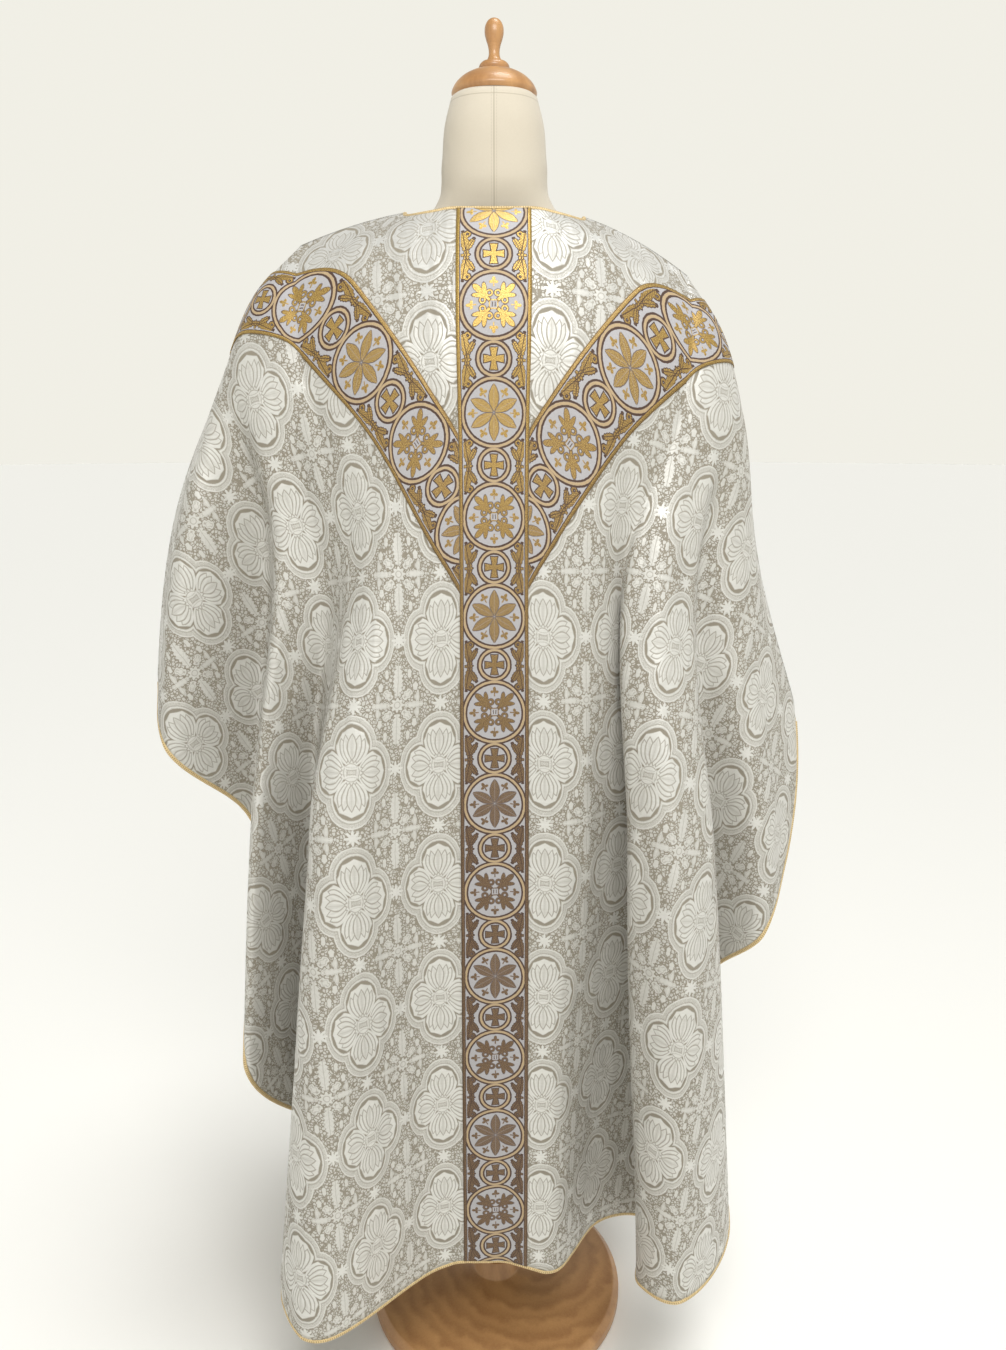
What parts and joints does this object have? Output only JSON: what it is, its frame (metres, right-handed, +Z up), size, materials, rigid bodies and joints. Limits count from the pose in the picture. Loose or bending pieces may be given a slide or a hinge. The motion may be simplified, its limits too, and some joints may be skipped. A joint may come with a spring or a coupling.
{
  "type": "gothic chasuble on a dress form",
  "caption": "White damask gothic chasuble with a forked gold galloon orphrey and piped edges, hanging in deep folds on a plain limbless dress form with a turned wooden stand.",
  "frame": {"origin": "on the floor, under the middle of the stand's round base", "axes": "+Z up; the chasuble's back faces -Y and its front +Y; +X is the side on the right of a viewer who looks at the back"},
  "size_m": [0.8619, 0.5394, 1.7221],
  "materials": {
    "damask": "ivory figured damask, satin figure on a matt ground",
    "galloon": "woven gold galloon with metallic yarn",
    "gold_piping": "antique gold braid",
    "form_cover": "plain ecru jersey, matt",
    "turned_wood": "honey-coloured turned beech, satin varnish"
  },
  "bodies": {
    "root": {"back_panel": "damask", "front_panel": "damask", "back_orphrey_column": "galloon", "back_orphrey_arm_left": "galloon", "back_orphrey_arm_right": "galloon", "front_orphrey_column": "galloon", "front_orphrey_arm_left": "galloon", "front_orphrey_arm_right": "galloon", "back_edge_piping": "gold_piping", "front_edge_piping": "gold_piping", "neck_piping": "gold_piping", "form_torso": "form_cover", "finial": "turned_wood", "neck_cap": "turned_wood", "pole": "turned_wood", "base": "turned_wood"}
  },
  "joints": []
}
